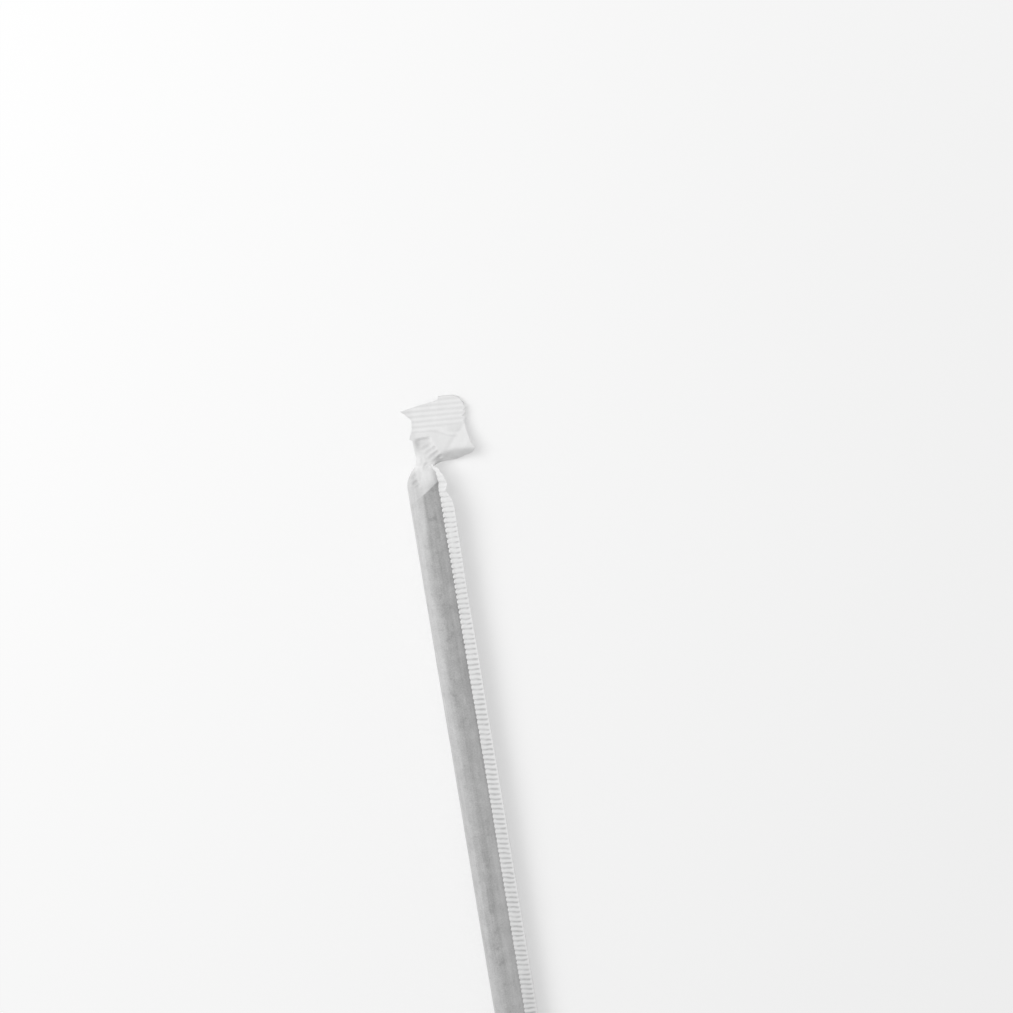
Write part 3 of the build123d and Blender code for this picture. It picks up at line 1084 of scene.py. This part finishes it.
class STRAW_OT_set_stage(bpy.types.Operator):
    """Set up the white table, the soft light and the camera"""

    bl_idname = "wrapped_straw.set_stage"
    bl_label = "Set stage"

    def execute(self, context):
        stage = context.scene.stage_settings
        context.scene.view_settings.view_transform = "Standard"
        self.table(stage)
        self.lights(context.scene, stage)
        context.scene.camera = self.camera(context.scene, stage)
        return {"FINISHED"}

    def seen(self, wire):
        """1 for what the camera sees, straight or in a reflection."""
        straight = wire.add("ShaderNodeLightPath", output="Is Camera Ray")
        glossy = straight.beside("Is Glossy Ray")
        through = straight.beside("Is Transmission Ray")
        return straight.maths("MAXIMUM", straight, glossy.maths("MAXIMUM", glossy, through))

    def table(self, stage):
        """Lays a wide table that fades to plain white round the straw."""
        bm = bmesh.new()
        bmesh.ops.create_grid(bm, x_segments=1, y_segments=1, size=TABLE_HALF)
        material, start, surface = shader("table_white", TABLE_SPECULAR)
        surface["Base Color"].default_value = stage.floor_colour
        surface["Roughness"].default_value = TABLE_ROUGHNESS
        plain = Wire(start.tree, start.tree.nodes["Principled BSDF"].outputs["BSDF"])
        white = start.add("ShaderNodeEmission", None, {"Color": WHITE, "Strength": WHITE_STRENGTH})
        place = start.add("ShaderNodeTexCoord", output="Object")
        away = place.add("ShaderNodeVectorMath", {"operation": "LENGTH"}, {0: place}, output="Value")
        faded = away.step(stage.fade_start, stage.fade_end)
        factor = self.seen(start) * mix(stage.floor_white, 1, faded)
        mixed = start.add("ShaderNodeMixShader", None, {0: factor, 1: plain, 2: white})
        mixed.feed(start.tree.nodes["Material Output"].inputs["Surface"])
        new_piece("table", bm, material)

    def lights(self, scene, stage):
        """Hangs one large soft lamp in even light from all round."""
        world = bpy.data.worlds.new("studio")
        world.use_nodes = True
        scene.world = world
        background = world.node_tree.nodes["Background"].inputs
        background["Color"].default_value = WHITE
        strength = mix(stage.fill_strength, WHITE_STRENGTH, self.seen(Wire(world.node_tree)))
        strength.feed(background["Strength"])
        lamp = bpy.data.lights.new("key_lamp", "AREA")
        lamp.energy = stage.key_power
        lamp.size = stage.key_size
        key = bpy.data.objects.new("key_lamp", lamp)
        key.location = stage.key_place
        target = Vector((0, KEY_TARGET_Y * MM, 0))
        key.rotation_euler = (target - key.location).to_track_quat("-Z", "Y").to_euler()
        scene.collection.objects.link(key)

    def camera(self, scene, stage):
        """Aims a camera that puts the straw's rim on its pixel of the picture."""
        tilt, roll = stage.camera_tilt, stage.camera_roll
        across = Vector((1, 0, 0))
        ahead = Vector((0, math.cos(tilt), -math.sin(tilt)))
        back = across.cross(ahead)
        right = across * math.cos(roll) - ahead * math.sin(roll)
        up = across * math.sin(roll) + ahead * math.cos(roll)
        focal = stage.focal_length / SENSOR_WIDTH * PICTURE_WIDTH
        middle = PICTURE_WIDTH / 2
        rim = Vector((0, STRAW_END - RIM_INSET, AXIS_HEIGHT)) * MM
        offset = Vector((RIM_PIXEL.x - middle, middle - RIM_PIXEL.y)) * (stage.camera_distance / focal)
        lens = bpy.data.cameras.new("camera")
        lens.lens = stage.focal_length
        lens.sensor_width = SENSOR_WIDTH
        lens.clip_start = CLIP_START * MM
        camera = bpy.data.objects.new("camera", lens)
        place = rim - right * offset.x - up * offset.y + back * stage.camera_distance
        camera.matrix_world = Matrix.Translation(place) @ Matrix((right, up, back)).transposed().to_4x4()
        scene.collection.objects.link(camera)
        return camera


class STRAW_PT_panel(bpy.types.Panel):
    """Steps and settings of the wrapped straw"""

    bl_idname = "STRAW_PT_panel"
    bl_label = "Wrapped straw"
    bl_space_type = "VIEW_3D"
    bl_region_type = "UI"
    bl_category = "Straw"

    def draw(self, context):
        layout = self.layout
        for operator in OPERATORS:
            layout.operator(operator.bl_idname)
        for name in SETTINGS:
            group = getattr(context.scene, name)
            box = layout.box()
            for prop in group.bl_rna.properties:
                if prop.identifier not in {"rna_type", "name"}:
                    box.prop(group, prop.identifier)


SETTINGS = {"wrapper_sizes": WrapperSizes, "straw_finish": StrawFinish, "stage_settings": StageSettings}
OPERATORS = (STRAW_OT_fold_wrapper, STRAW_OT_finish_straw, STRAW_OT_set_stage)


def register():
    for cls in (*SETTINGS.values(), *OPERATORS, STRAW_PT_panel):
        bpy.utils.register_class(cls)
    for name, cls in SETTINGS.items():
        setattr(bpy.types.Scene, name, PointerProperty(type=cls))


def unregister():
    for name in SETTINGS:
        delattr(bpy.types.Scene, name)
    for cls in reversed((*SETTINGS.values(), *OPERATORS, STRAW_PT_panel)):
        bpy.utils.unregister_class(cls)


def main():
    register()
    bpy.ops.wrapped_straw.fold_wrapper()
    bpy.ops.wrapped_straw.finish_straw()
    bpy.ops.wrapped_straw.set_stage()


if __name__ == "__main__":
    main()
